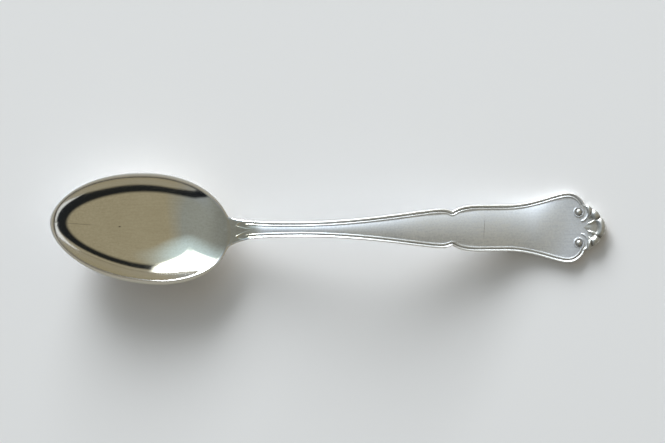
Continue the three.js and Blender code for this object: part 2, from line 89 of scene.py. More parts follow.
# Bowl, from the side
BOWL_DEPTH = 5.9
BOWL_FULLNESS = 0.1
TIP_FULLNESS = 0.7
BOWL_PITCH = math.radians(6)
BOWL_WALL = 0.7
RIM_WIDTH = 0.8
RIM_THICKNESS = 0.9
RIM_CROWN = 0.03
RIM_CROWN_FROM = (0.3, 3.0)
RIM_CREASE = 0.16
RIM_ROLL = 0.04
RIM_ROLL_POWER = 3
RIM_ROLL_ENDS = (-8.0, -2.0)
RIM_DIP = 0.5
RIM_EASE = 8.0
HEEL_RUN = 0.3
RUNOUT_FROM = 0.3
RUNOUT_WIDTH = 5.0
DROP_LENGTH = 8.0
DROP_TAPER = 0.4

# Painted shade in the crease inside the rim, wear on the rim and pale rubbed silver next to it, counted
# from the seam
RIM_SHADE = 0.7
RIM_SHADE_DEPTH = 0.05
RIM_SHADE_SPREAD = 0.2
RIM_SHADE_FROM = (4.0, 9.0)
RIM_WEAR_SHARE = 0.5
RIM_WEAR_FROM = (0.6, 3.0)
RUBBED_REACH = 4.5
RUBBED_FROM = (3.0, 9.0)

# Handle, in plan
NECK_LENGTH = 14.0
TAPER_LENGTH = 31.2
SHOULDER_LENGTH = 2.4
SWELL_LENGTH = 5.8
BLADE_LENGTH = 5.9
FLARE_LENGTH = 13.27
CORNER_RADIUS = 3.9
CORNER_SWEEP = math.radians(72)
WAIST_WIDTH = 3.32
NECK_SPREAD = 0.68
NECK_FLARE = 0.9
NECK_FADE = 2.3
SHOULDER_WIDTH = 8.54
NOTCH_WIDTH = 7.48
BLADE_WIDTH = 10.1
END_WIDTH = (handle_high.y - handle_low.y) / MM
CROWN_X = NECK_LENGTH + TAPER_LENGTH
NOTCH_X = CROWN_X + SHOULDER_LENGTH
SWELL_X = NOTCH_X + SWELL_LENGTH
FLARE_X = SWELL_X + BLADE_LENGTH
CORNER_X = FLARE_X + FLARE_LENGTH
CORNER_CENTRE = (CORNER_X, END_WIDTH / 2 - CORNER_RADIUS)
CORNER_END = math.pi / 2 - CORNER_SWEEP
END_X = CORNER_X + CORNER_RADIUS * math.sin(CORNER_SWEEP)

# Shaping of the handle's outline: how far each curve runs straight on as it leaves and arrives,
# and how much of its change of width it has made there
TAPER_CURVE = (0.48, 0.115, 0, 0)
CROWN_CURVE = (0.5, 0.28, 0, 0.6)
SWELL_CURVE = (0.12, 0.65, 0.32, 0)
FLARE_CURVE = (0.45, 0.2, 0, 0)
STRAIGHT = (0, 0, 0, 0)

# Handle, from the side
NECK_THICKNESS = 2.1
BLADE_THICKNESS = bead_low.z / MM
NECK_BELLY = 0.8
FIELD_SLOPE = 0.3
FIELD_EASE = 4.0
NECK_RISE = 0.2
CREST_AT = 24.0
CREST_HEIGHT = 9.4
HANDLE_FALL = 0.2
BEND_LENGTH = 10.0
LEVEL_LENGTH = 5.0
UNDER_ROUND = 0.3
SEAT_Z = BLADE_THICKNESS
LEVEL_X = END_X - LEVEL_LENGTH
BEND_X = LEVEL_X - BEND_LENGTH
CROWN_FADE = (LEVEL_X - 6, LEVEL_X + 2)

# Double-thread border
OUTER_THREAD = 0.5
THREAD_GROOVE = 0.18
INNER_THREAD = 0.4
OUTER_RISE = 0.2
OUTER_CREST = 0.2
OUTER_FLANK = 1.3
INNER_RISE = 0.13
GROOVE_DEPTH = 0.06
EDGE_ROLL = 0.1
THREADS_FROM = (2.4, 4.8)
INNER_FROM = OUTER_THREAD + THREAD_GROOVE
BORDER_WIDTH = INNER_FROM + INNER_THREAD
BORDER_SHARE = 0.75
NARROWEST = 0.05
BORDER_POLISH = 0.15
# Painted shade in the groove between the threads and at the inner thread's foot
GROOVE_SHADE_SPREAD = 0.08
FOOT_SHADE = 0.35
FOOT_SHADE_SPREAD = 0.12

# Lugs at the neck, each between two curves, and the neck's polish and painted shade, which stands for a
# darker reflection
LUG_INNER = ((0.85, 1.1), (1.5, 0.95), (2.2, 0.35), (4.0, 0.18))
LUG_OUTER = ((0.85, 1.1), (1.05, 1.3), (1.15, 1.98), (2.8, 2.0))
LUGS_TO = 6.0
LUG_EDGE = 0.13
LUG_EDGE_RISE = 0.065
LUG_EDGE_END = 0.2
LUG_SINK = 0.05
LUG_SINK_EASE = 0.3
LUG_SINK_START = 0.5
LUG_SINK_SHARE = 0.5
POLISH_FADE = (3.2, 7.2)
NECK_SHADE = 0.36
NECK_SHADE_ENDS = (2.2, 5.0)
RUBBED_EDGE = (0.15, 0.5)

# Shell, as a fan of lobes: the middle lobe's width in degrees, its reach at the valleys and its rise,
# and the width, reach at the farther valley, bulge and rise of the lobes beside it
CENTRE_LOBE = (40.8, 6.26, 0.8)
SIDE_LOBES = ((23.8, 5.72, 0.28, 0.7), (16.8, 5.58, 0.18, 0.55))
LOBE_ROUNDNESS = 0.75
SHELL_REACH = 7.0
SHELL_INNER = 2.2
SHELL_SIDE_INNER = 2.0
SHELL_SIDE_TURN = 0.8
SHELL_FLOOR = 0.2
SHELL_LIP = 0.02
RIDGE_RISE = 0.25
RIDGE_WIDTH = 0.3
RIDGE_START = 0.22
RIDGE_GATHER = 0.72
LIP_RUN = 0.4
KNOB_DEPTH = 1.75
KNOB_RUNOUT = 3
KNOB_BLEND = 0.06
SHELL_HALF = CENTRE_LOBE[0] / 2 + sum(lobe[0] for lobe in SIDE_LOBES)
TONGUE_INSET = 0.15
TONGUE_SIDE_INSET = 0.1
TONGUE_SIDE = math.radians(SHELL_HALF - TONGUE_SIDE_INSET)
FAN_X = (shell_end - SEAM.x) / MM - SHELL_REACH
# Painted shade on the handle's field, darker towards the shell
FAN_SHADE = 0.3
FAN_SHADE_BEGINS = (FAN_X - 6, FAN_X + 2)
# Painted shade in the valleys between the shell's knobs and at the knobs' feet
VALLEY_SHADE = 0.9
VALLEY_SHARPNESS = 4
VALLEY_ENDS = (0.8, 1.5)
KNOB_SHADE = 0.6
KNOB_SHADE_SPREAD = 0.25

# Scroll beads and the curls of the threads round them
BEAD_RADIUS = 0.65
BEAD_RISE = 0.5
BEAD_X = ((bead_low.x + bead_high.x) / 2 - SEAM.x) / MM
BEAD_Y = ((bead_low.y + bead_high.y) / 2 - SEAM.y) / MM
# Painted shade on each bead towards its foot, and in a dark ring round its foot on the field
BEAD_SHADE = 0.8
EYE_SHADE = 0.9
EYE_SHADE_SPREAD = 0.16
OUTER_CURL = 2.05
OUTER_CURL_END = math.radians(-78)
INNER_CURL = 1.02
INNER_CURL_END = math.radians(-250)
CURL_SETTLE = math.radians(55)
CURL_LEAD = 0.2
CURL_END_ROUNDNESS = 0.5
RELIEF_ROUNDNESS = 1.2

# Fineness of the surfaces
BOWL_SPACING = 0.3
BOWL_SIDE_STEPS = 1500
HOLLOW_ROWS = 56
RIM_ROWS = 30
RIM_REACH = 2.2
OUTSIDE_ROWS = 50
NECK_STEPS = 110
NECK_CROWDING = 1.5
TAPER_STEPS = 80
CROWN_STEPS = 20
SWELL_STEPS = 34
BLADE_STEPS = 20
FLARE_STEPS = 56
CORNER_STEPS = 64
TONGUE_STEPS = 24
STOP_STEPS = 8
OUTER_PLACES = 13
GROOVE_PLACES = 5
INNER_PLACES = 11
FIELD_PLACES = 66
FIELD_SAMPLES = 15
UNDER_EDGE_SHARE = 0.2
UNDER_EDGE_PLACES = 8
UNDER_PLACES = 12
LUG_STEPS = 40
CURL_FADE = 14
CURL_SETTLE_STEPS = 24
CURL_STEPS = 60
SHELL_LOBE_STEPS = 36
SHELL_ROWS = 64
BEAD_ROWS = 14
BEAD_STEPS = 40
MERGE = 1e-7
SHARP = math.radians(50)

# Silver colours and roughness
FILMED_SILVER = (0.91, 0.855, 0.67)
FILMED_DULL = (0.81, 0.75, 0.57)
RUBBED_SILVER = (0.93, 0.92, 0.88)
# Dark colour of the painted shade in hollows and creases and of the single marks, and the roughness they
# add
SHADE_AND_MARK_COLOUR = (0.16, 0.13, 0.10)
SHADE_AND_MARK_ROUGHNESS = 0.25
WORN_ROUGHNESS = 0.34
NECK_POLISH = 0.87

# Finish of each slot: bright and dull colour, their roughness, and the depth of scratches in metres
BOWL_FINISH = (FILMED_SILVER, FILMED_DULL, (0.05, 0.09), 2e-7)
HANDLE_FINISH = ((0.96, 0.985, 1.0), (0.74, 0.76, 0.78), (0.48, 0.60), 1.2e-6)
# The ornament's silver is darker and warmer than the handle's
ORNAMENT_FINISH = ((0.78, 0.77, 0.72), (0.58, 0.57, 0.52), (0.34, 0.46), 6e-7)

# Noise in the silver, as scale, detail, stretch and turn, and what is taken from it
PATCHES = (90, 4)
STREAKS = (1, 4, (70, 2600, 2600))
GRAIN = (2200, 3)
WORN_SHARES = (0.35, 0.3, 0.35)
WORN_RANGE = (0.4, 0.6)
ROUGH_RANGE = (0.15, 0.36)
SPECKLES = (700, 3)
SPECKLE_RANGE = ((0.2, 0.6), (0.7, 1.0))
SCRATCHES = (1, 3, (120, 9000, 9000))
SCRATCH_LINES = ((0.40, 0.0), (0.5, 1.0), (0.6, 0.0))
CROSS_SCRATCHES = (1, 2, (160, 14000, 9000), 0.5)
CROSS_LINES = ((0.62, 0.0), (0.68, 1.0), (0.74, 0.0))
CROSS_DEPTH = 1.2
DENTS = (330, 2)
DENT_DEPTH = 2e-6

# Single marks as place, turn, half length and half width
BOWL_MARKS = (((-24.3, 0.9), 0.2, 0.34, 0.17), ((-32.8, 1.5), -0.075, 4.3, 0.05))
HANDLE_MARKS = (((54.5, 0.2), 1.5, 2.9, 0.06),)
MARK_CORE = 0.3

# Studio, in metres and in directions from the spoon
FLOOR_SIZE = 8.0
FLOOR_COLOUR = (0.80, 0.775, 0.75)
CEILING = (0.32, 0.30, 0.245)
FAR_CEILING = (0.27, 0.30, 0.33)
FAR_SIDE = (0.08, 0.42)
WALL_DARK = (0.013, 0.015, 0.018)
WALL_TILT = 0.05
WALL_TOP = (0.20, 0.27)
FOOT_TILT = 0.18
FOOT_TOP = (0.02, 0.05)
GLOW = (0.68, 0.88, 1.1)
GLOW_SIDE = (-0.45, 0.75, 0.48)
GLOW_REACH = (0.72, 1.0)
WINDOW_TURN = math.radians(150)
WINDOW_DISTANCE = 2.6
WINDOW_SHIFT = 1.46 * WINDOW_DISTANCE
WINDOW_HEIGHT = 0.615 * WINDOW_DISTANCE
WINDOW_SIZE = (2.57 * WINDOW_DISTANCE, 0.77 * WINDOW_DISTANCE)
WINDOW_POWER = 1150
WINDOW_ACROSS = ((0.0, 0.01), (0.12, 0.08), (0.3, 1.0), (0.84, 1.0), (0.94, 0.15), (1.0, 0.03))
WINDOW_UP = ((0.5, 1.0), (0.75, 0.1), (1.0, 0.02))
WINDOW_COLOUR = (0.88, 0.94, 1.0)
SENSOR = 36.0
CAMERA_DISTANCE = 3.0
FRAME_WIDTH = 0.1436
CAMERA_ROLL = math.radians(-0.4)
CAMERA_TARGET = (0.00092, 0.00130, 0.005)

# Slope at the foot of a hump, and the colour sockets among those of a mix node
HUMP_SLOPE = 4
MIX_COLOURS = slice(6, 8)
MIX_RESULT = 2


def lerp(a, b, share):
    return a + (b - a) * share


def smoothstep(x, low, high):
    t = np.clip((x - low) / (high - low), 0, 1)
    return t * t * (3 - 2 * t)


def soft_max(a, b, reach):
    """Larger of two values, rounded over where they are within reach of each other."""
    near = np.maximum(0, reach - np.abs(a - b))
    return np.maximum(a, b) + near * near / (4 * reach)


def half_round(place):
    """Height of a half circle over -1 to 1, and nothing beyond."""
    return np.sqrt(np.maximum(0, 1 - place ** 2))


def hump(share):
    """A parabola from 0 up to 1 in the middle and back."""
    return HUMP_SLOPE * share * (1 - share)


def mound(x, middle, spread):
    """1 in the middle, falling off softly on both sides."""
    return np.exp(-((x - middle) / spread) ** 2)


def rounding(distance, reach, power=2):
    """1 at an edge, easing to nothing within a reach of it."""
    return np.maximum(0, 1 - distance / reach) ** power


def ease(x, x0, z0, slope0, x1, z1, slope1):
    """Cubic between two places with given heights and slopes."""
    length = x1 - x0
    t = (x - x0) / length
    rise = t * t * (3 - 2 * t)
    leave = t * (1 - t) ** 2 * length * slope0
    arrive = t * t * (t - 1) * length * slope1
    return lerp(z0, z1, rise) + leave + arrive


def bezier(points, steps):
    """Points along a cubic curve, without its first."""
    t = np.linspace(0, 1, steps + 1)[1:, None]
    a, b, c, d = (np.array(p, float) for p in points)
    return (1 - t) ** 3 * a + 3 * t * (1 - t) ** 2 * b + 3 * t * t * (1 - t) * c + t ** 3 * d


def arc(centre, radius0, radius1, turn0, turn1, steps):
    """A spiral arc between two radii and two turns."""
    share = np.linspace(0, 1, steps)
    radius = lerp(radius0, radius1, share)
    turn = lerp(turn0, turn1, share)
    return np.column_stack([centre[0] + radius * np.cos(turn), centre[1] + radius * np.sin(turn)])


def resample(line, spacing):
    """The same line with evenly spaced points."""
    steps = np.linalg.norm(np.diff(line, axis=0), axis=1)
    run = np.concatenate([[0], np.cumsum(steps)])
    count = max(2, int(round(run[-1] / spacing)) + 1)
    even = np.linspace(0, run[-1], count)
    return np.stack([np.interp(even, run, line[:, k]) for k in range(line.shape[1])], axis=1)


def ring_faces(rows, columns):
    """Quads between closed rings of equally many points."""
    faces = []
    for i in range(rows - 1):
        for k in range(columns):
            a = i * columns + k
            b = i * columns + (k + 1) % columns
            faces.append((a, b, b + columns, a + columns))
    return faces


def cap_faces(first, columns, pole):
    """Triangles from a ring to a point that closes it."""
    return [(first + k, first + (k + 1) % columns, pole) for k in range(columns)]


def lean(x):
    """The bowl leans to one side of the handle's line, easing back to it through the neck."""
    held = 1 - smoothstep(x, -LEAN_EASE, LEAN_EASE)
    return math.tan(BOWL_LEAN) * (-LEAN_PIVOT - x) * held


# Bowl


def neck_half(x):
    """Half the width of the neck, flaring towards the bowl."""
    spread = NECK_SPREAD / 2 * (1 - x / NECK_LENGTH) ** 2
    return WAIST_WIDTH / 2 + spread + NECK_FLARE * np.exp(-x / NECK_FADE)


def toward_tip(x):
    """0 on the heel's side of the widest place, 1 on the tip's, blended across it."""
    return smoothstep(WIDEST_X - x, -EGG_BLEND, EGG_BLEND)


def egg_half(x):
    """Half the width of the egg, squarer at the heel and more pointed at the tip than an ellipse."""
    along = np.clip((x - WIDEST_X) / lerp(HEEL_REACH, TIP_REACH, toward_tip(x)), -1, 1)
    power = lerp(ELLIPSE, HEEL_SQUARENESS, smoothstep(along, *HEEL_SQUARING))
    power = lerp(power, TIP_SQUARENESS, smoothstep(-along, *TIP_SQUARING))
    return BOWL_WIDTH / 2 * (1 - np.abs(along) ** power) ** (1 / power)


def bowl_half(x):
    """Half the width of the bowl with its shoulders at the neck."""
    neck = soft_max(egg_half(x), neck_half(np.maximum(x, -NECK_FADE)), SHOULDER_BLEND)
    return np.where(x < WIDEST_X, egg_half(x), neck)


def hollow_share(x, y, rim, run):
    """Depth as a share of the full depth, flatter towards the tip and running out at the neck."""
    to_tip = toward_tip(x)
    along = (x - WIDEST_X) / lerp(HEEL_REACH + run, TIP_REACH - rim, to_tip)
    across = y / (BOWL_WIDTH / 2 - rim)
    within = 1 - along ** 2 - across ** 2
    fullness = BOWL_FULLNESS * (1 - within) + (TIP_FULLNESS - BOWL_FULLNESS) * to_tip * along ** 2
    bare = within * (1 + fullness)
    near_neck = smoothstep((x - WIDEST_X) / HEEL_REACH, RUNOUT_FROM, 1)
    softness = near_neck * mound(y, 0, RUNOUT_WIDTH)
    return np.where(bare > 0, np.maximum(bare, 0) ** (1 + softness), bare)


def hollow_depth(x, y):
    """Depth of the inside below the rim, less than nothing beyond it."""
    return BOWL_DEPTH * hollow_share(x, y, RIM_WIDTH, HEEL_RUN)


def rim_rise(x):
    """Height of the rim over the neck, with the slope of the handle at the seam."""
    line = -math.tan(BOWL_PITCH) * x - RIM_DIP * hump(np.clip(x / TIP_X, 0, 1))
    slope = -math.tan(BOWL_PITCH) - RIM_DIP * HUMP_SLOPE / TIP_X
    near = np.clip(1 + x / RIM_EASE, 0, 1)
    return line + (NECK_RISE - slope) * x * near ** 2


NECK_Z = bowl_high.z / MM - float(rim_rise(np.float64(TIP_X)))


def edge_thickness(x):
    """Thickness of the bowl's edge, from the neck's to the rim's."""
    return lerp(NECK_THICKNESS - NECK_BELLY, RIM_THICKNESS, smoothstep(-x, 0, DROP_LENGTH))


def drop_depth(x, y):
    """The neck's rounded underside running out under the heel."""
    along = np.clip(-x / DROP_LENGTH, 0, 1)
    half = bowl_half(np.float64(0)) * (1 - DROP_TAPER * along)
    return NECK_BELLY * (1 - along) * np.maximum(0, 1 - (y / half) ** 2) ** (1 + along)


def outside_depth(x, y):
    """Depth of the outside below the rim."""
    edge = edge_thickness(x)
    share = np.maximum(0, hollow_share(x, y, 0, HEEL_GAP))
    return edge + (BOWL_DEPTH + BOWL_WALL - edge) * share + drop_depth(x, y)


def bowl_outline():
    """Outline of the bowl from the tip round to the tip."""
    turn = np.linspace(0, math.pi, BOWL_SIDE_STEPS)
    x = TIP_X * (1 + np.cos(turn)) / 2
    side = resample(np.stack([x, bowl_half(x)], axis=1), BOWL_SPACING)
    half = side[-1, 1]
    seam_y = np.linspace(half, -half, int(2 * half / BOWL_SPACING) + 1)[1:-1]
    seam = np.stack([np.zeros_like(seam_y), seam_y], axis=1)
    back = side[1:][::-1] * [1, -1]
    return np.concatenate([side, seam, back])


def side_distance(x, y, radial):
    """Distance to the bowl's edge: along the ray round the egg, and sideways at the neck."""
    step = 0.01
    slope = (bowl_half(x + step) - bowl_half(x - step)) / (2 * step)
    lateral = (bowl_half(x) - np.abs(y)) / np.hypot(1, slope)
    return np.maximum(0, lerp(radial, lateral, smoothstep(x, *NECK_BEGINS)))


def edge_roll(distance):
    """How far the neck's and the handle's top rolls over at the edge."""
    return EDGE_ROLL * rounding(distance, OUTER_THREAD / 2)


def bowl_top(x, y, distance):
    """Height of the inside and of the rounded rim."""
    crown = RIM_CROWN * hump(np.clip(distance / RIM_WIDTH, 0, 1)) * smoothstep(-x, *RIM_CROWN_FROM)
    rim_roll = RIM_ROLL * rounding(distance, OUTER_THREAD, RIM_ROLL_POWER)
    roll = lerp(rim_roll, edge_roll(distance), smoothstep(x, *RIM_ROLL_ENDS))
    return NECK_Z + rim_rise(x) - soft_max(hollow_depth(x, y), 0, RIM_CREASE) + crown - roll


def bowl_under(x, y, distance):
    """Height of the outside, rounded at its edge."""
    return NECK_Z + rim_rise(x) - outside_depth(x, y) + UNDER_ROUND * rounding(distance, UNDER_ROUND)


def neck_shade(x, distance):
    """Painted shade in the neck on both sides of the seam, standing for a darker reflection, and fading
    out at its edges.
    """
    kept = smoothstep(distance, *RUBBED_EDGE)
    return NECK_SHADE * kept * smoothstep(x, *NECK_BEGINS) * (1 - smoothstep(x, *NECK_SHADE_ENDS))


def bowl_marks(x, y, distance):
    """Painted shade in the crease inside the rim and in the neck, wear on the rim, and where the silver
    is rubbed pale.
    """
    # Painted shade in the crease just inside the rim
    crease = mound(hollow_depth(x, y), RIM_SHADE_DEPTH, RIM_SHADE_SPREAD)
    painted_shade = RIM_SHADE * crease * smoothstep(-x, *RIM_SHADE_FROM)
    on_rim = 1 - smoothstep(distance, RIM_WEAR_SHARE * RIM_WIDTH, RIM_WIDTH)
    wear = on_rim * smoothstep(-x, *RIM_WEAR_FROM)
    by_rim = 1 - smoothstep(distance, RIM_WIDTH, RUBBED_REACH)
    edge = 1 - smoothstep(distance, *RUBBED_EDGE)
    return {
        "painted_shade": np.maximum(painted_shade, neck_shade(x, distance)),
        "wear": wear,
        "rubbed": np.maximum(np.maximum(by_rim * smoothstep(-x, *RUBBED_FROM), edge), wear),
    }


def bowl_shares(lengths):
    """Where rings cross the arms from the middle: over the hollow and the rim, and back below."""
    hollow = np.linspace(0, 1, HOLLOW_ROWS)[1:, None] * (1 - RIM_REACH / lengths)
    out = np.sin(np.linspace(0, math.pi / 2, RIM_ROWS + 1)[1:, None])
    rim = 1 - RIM_REACH * (1 - out) / lengths
    below = np.sin(np.linspace(math.pi / 2, 0, OUTSIDE_ROWS + 1))[:-1, None] + 0 * lengths
    return np.concatenate([hollow, rim]), below


def make_bowl():
    """Rings from the middle of the hollow out over the rim and back under the bowl."""
    middle = np.array([WIDEST_X, 0])
    arms = bowl_outline() - middle
    lengths = np.linalg.norm(arms, axis=1)
    top_share, low_share = bowl_shares(lengths)
    x, y = np.moveaxis(middle + arms * top_share[..., None], -1, 0)
    low_x, low_y = np.moveaxis(middle + arms * low_share[..., None], -1, 0)
    distance = side_distance(x, y, lengths * (1 - top_share))
    low_distance = side_distance(low_x, low_y, lengths * (1 - low_share))
    top = np.stack([x, y, bowl_top(x, y, distance)], axis=-1)
    low = np.stack([low_x, low_y, bowl_under(low_x, low_y, low_distance)], axis=-1)
    rings = np.concatenate([top, low])
    pole = np.full(1, WIDEST_X), np.zeros(1), np.full(1, RIM_REACH)
    poles = [[WIDEST_X, 0, bowl_top(*pole)[0]], [WIDEST_X, 0, bowl_under(*pole)[0]]]
    points = np.concatenate([rings.reshape(-1, 3), poles])
    points[:, 1] += lean(points[:, 0])
    rows, columns = rings.shape[:2]
    faces = ring_faces(rows, columns)
    faces += cap_faces(0, columns, rows * columns)
    faces += cap_faces((rows - 1) * columns, columns, rows * columns + 1)
    unmarked = np.zeros(low_x.size + len(poles))
    marks = {name: np.append(values, unmarked) for name, values in bowl_marks(x, y, distance).items()}
    # The whole outside is rubbed, but not the pole inside the hollow
    marks["rubbed"][x.size:] = 1
    marks["rubbed"][-len(poles)] = 0
    return points, faces, marks


# Handle


def stretch(x0, width0, x1, width1, curve, steps):
    """One stretch of the handle's outline, as in the shaping of its curve at both ends."""
    leave, arrive, leave_turn, arrive_turn = curve
    length = x1 - x0
    change = width1 - width0
    first = (x0, width0 / 2)
    second = (x0 + leave * length, (width0 + leave_turn * change) / 2)
    third = (x1 - arrive * length, (width1 - arrive_turn * change) / 2)
    return bezier((first, second, third, (x1, width1 / 2)), steps)


def shell_rays(steps):
    """Rays of the fan: angle, reach, place across the lobe from -1 to 1, and the lobe's rise."""
    width, valley, rise = CENTRE_LOBE
    half = width / 2
    lobes = [(-half, half, valley, valley, SHELL_REACH - valley, rise)]
    for width, far_valley, bulge, rise in SIDE_LOBES:
        lobes.append((half, half + width, valley, far_valley, bulge, rise))
        lobes.insert(0, (-half - width, -half, far_valley, valley, bulge, rise))
        half, valley = half + width, far_valley
    rays = []
    for index, (low, high, low_valley, high_valley, bulge, rise) in enumerate(lobes):
        across = -np.cos(np.linspace(0, math.pi, steps + 1))[0 if index == 0 else 1:]
        share = (across + 1) / 2
        chord = lerp(low_valley, high_valley, share)
        reach = chord + bulge * np.maximum(0, 1 - across ** 2) ** LOBE_ROUNDNESS
        angle = np.radians(lerp(low, high, share))
        rays.append(np.column_stack([angle, reach, across, np.full_like(angle, rise)]))
    return np.concatenate(rays)


def tongue_outline():
    """The handle's end under the shell, from its side to its middle."""
    angle, reach = shell_rays(TONGUE_STEPS).T[:2]
    upper = (angle >= 0) & (angle < TONGUE_SIDE)
    radius = reach[upper] - TONGUE_INSET
    line = np.column_stack([FAN_X + radius * np.cos(angle[upper]), radius * np.sin(angle[upper])])
    middle = [[FAN_X + SHELL_REACH - TONGUE_INSET, 0]]
    return np.concatenate([line[::-1], middle])


def handle_outline():
    """One side of the handle, from the seam to the middle of its end."""
    x = NECK_LENGTH * np.linspace(0, 1, NECK_STEPS) ** NECK_CROWDING
    radius = CORNER_RADIUS
    return np.concatenate([
        np.column_stack([x, neck_half(x)]),
        stretch(NECK_LENGTH, WAIST_WIDTH, CROWN_X, SHOULDER_WIDTH, TAPER_CURVE, TAPER_STEPS),
        stretch(CROWN_X, SHOULDER_WIDTH, NOTCH_X, NOTCH_WIDTH, CROWN_CURVE, CROWN_STEPS),
        stretch(NOTCH_X, NOTCH_WIDTH, SWELL_X, BLADE_WIDTH, SWELL_CURVE, SWELL_STEPS),
        stretch(SWELL_X, BLADE_WIDTH, FLARE_X, BLADE_WIDTH, STRAIGHT, BLADE_STEPS),
        stretch(FLARE_X, BLADE_WIDTH, CORNER_X, END_WIDTH, FLARE_CURVE, FLARE_STEPS),
        arc(CORNER_CENTRE, radius, radius, math.pi / 2, CORNER_END, CORNER_STEPS + 1)[1:],
        tongue_outline(),
    ])


def tongue_start(outline):
    """Number of the handle's outline points before those under the shell."""
    return len(outline) - len(tongue_outline())


def middle_line(points):
    """Places beside the points on the handle's middle line, which stops at the fan's centre."""
    return np.column_stack([np.minimum(points[:, 0], FAN_X), np.zeros(len(points))])


def field_z(x):
    """Height of the handle's field along its length."""
    bend_z = SEAT_Z + HANDLE_FALL * BEND_LENGTH / 2
    rise = ease(x, 0, NECK_Z, NECK_RISE, CREST_AT, CREST_HEIGHT, 0)
    fall = ease(x, CREST_AT, CREST_HEIGHT, 0, BEND_X, bend_z, -HANDLE_FALL)
    bend = ease(x, BEND_X, bend_z, -HANDLE_FALL, LEVEL_X, SEAT_Z, 0)
    return np.select([x < CREST_AT, x < BEND_X, x < LEVEL_X], [rise, fall, bend], SEAT_Z)


def field_crown(inside, x, y):
    """Height of the field's crown, whose width is evened out along the handle to pass the notch."""
    offsets = np.linspace(-FIELD_EASE, FIELD_EASE, FIELD_SAMPLES)
    half = np.mean([np.interp(x + offset, inside[:, 0], inside[:, 1]) for offset in offsets], axis=0)
    across = np.clip(np.abs(y) / half, 0, 1)
    return FIELD_SLOPE / 2 * half * (1 - across ** 2) * (1 - smoothstep(x, *CROWN_FADE))


def underside_z(x, across):
    """Height of the handle's underside, rounded at the neck and flat at the end."""
    along = smoothstep(x, 0, LEVEL_X)
    thickness = lerp(NECK_THICKNESS, BLADE_THICKNESS, along)
    return field_z(x) - thickness + lerp(NECK_BELLY, 0, along) * across ** 2


def thread_rise(distance):
    """Height of the border over the field: a thread with its crest near the edge, a groove and a
    half-round thread."""
    edge_side = half_round(1 - np.minimum(distance, OUTER_CREST) / OUTER_CREST)
    down = np.clip((distance - OUTER_CREST) / (OUTER_THREAD - OUTER_CREST), 0, 1)
    outer = OUTER_RISE * (edge_side - down ** OUTER_FLANK)
    inner = INNER_RISE * half_round(2 * (distance - INNER_FROM) / INNER_THREAD - 1)
    groove = GROOVE_DEPTH * half_round(2 * (distance - OUTER_THREAD) / THREAD_GROOVE - 1)
    return outer + inner - groove


def ridge(xy, curve, half_width, rise):
    """Height of a rounded ridge along a curve, whose rise is given at the curve's points."""
    gaps = np.linalg.norm(xy[..., None, :] - curve, axis=-1)
    across = np.minimum(1, gaps.min(axis=-1) / half_width)
    return rise[gaps.argmin(axis=-1)] * (1 - across ** 2) ** RELIEF_ROUNDNESS


def curl(depth, radius, end):
    """Middle line of a thread that leaves the corner and curls round the bead."""
    bead = np.array([BEAD_X, BEAD_Y])
    thread = CORNER_RADIUS - depth
    lead = arc(CORNER_CENTRE, thread, thread, CORNER_END + CURL_LEAD, CORNER_END, CURL_FADE)
    start = lead[-1] - bead
    turn = math.atan2(start[1], start[0])
    settle = arc(bead, np.hypot(*start), radius, turn, turn - CURL_SETTLE, CURL_SETTLE_STEPS)
    hold = arc(bead, radius, radius, turn - CURL_SETTLE, end, CURL_STEPS)
    return np.concatenate([lead, settle[1:], hold[1:]])


def scroll_relief(xy):
    """The threads' curls round the bead, fading in along the corner and out at their ends."""
    relief = np.zeros(xy.shape[:-1])
    threads = (
        (0, OUTER_THREAD, OUTER_RISE, OUTER_CURL, OUTER_CURL_END),
        (INNER_FROM, INNER_THREAD, INNER_RISE, INNER_CURL, INNER_CURL_END),
    )
    for start, width, rise, radius, end in threads:
        line = curl(start + width / 2, radius, end)
        heights = np.full(len(line), rise)
        heights[:CURL_FADE] *= np.linspace(0, 1, CURL_FADE)
        heights[-CURL_FADE:] *= np.linspace(1, 0, CURL_FADE) ** CURL_END_ROUNDNESS
        relief = np.maximum(relief, ridge(xy, line, width / 2, heights))
    return relief


def lug_relief(xy):
    """Leaf-shaped lugs at the neck: two fine ridges from one point, sunk between them."""
    x, y = xy[..., 0], xy[..., 1]
    lines = (LUG_INNER, LUG_OUTER)
    inner, outer = (np.concatenate([line[:1], bezier(line, LUG_STEPS)]) for line in lines)
    heights = LUG_EDGE_RISE * np.linspace(1, LUG_EDGE_END, LUG_STEPS + 1)
    edges = np.maximum(ridge(xy, inner, LUG_EDGE, heights), ridge(xy, outer, LUG_EDGE, heights))
    over_inner = smoothstep(y - np.interp(x, *inner.T), 0, LUG_SINK_EASE)
    below_outer = smoothstep(np.interp(x, *outer.T) - y, 0, LUG_SINK_EASE)
    start, end = LUG_INNER[0][0], LUG_INNER[-1][0]
    sunk = smoothstep(x, start, start + LUG_SINK_START) * (1 - smoothstep(x, LUG_SINK_SHARE * end, end))
    return edges - LUG_SINK * over_inner * below_outer * sunk


def round_places(start, width, count):
    """Places across a half-round thread, closer towards its feet."""
    return start + width / 2 * (1 - np.cos(np.linspace(0, math.pi, count)))


def inward_ways(outline):
    """Directions inward from the outline: square to it, straight across at the seam, and towards the
    fan's centre under the shell."""
    tangent = np.gradient(outline, axis=0)
    tangent /= np.linalg.norm(tangent, axis=1)[:, None]
    square = np.column_stack([tangent[:, 1], -tangent[:, 0]])
    at_seam = 1 - smoothstep(outline[:, 0], 0, NECK_FADE)[:, None]
    inward = lerp(square, np.array([[0, -1]]), at_seam)
    under_shell = np.arange(len(outline)) >= tongue_start(outline)
    inward = np.where(under_shell[:, None], np.array([FAN_X, 0]) - outline, inward)
    return inward / np.linalg.norm(inward, axis=1)[:, None]


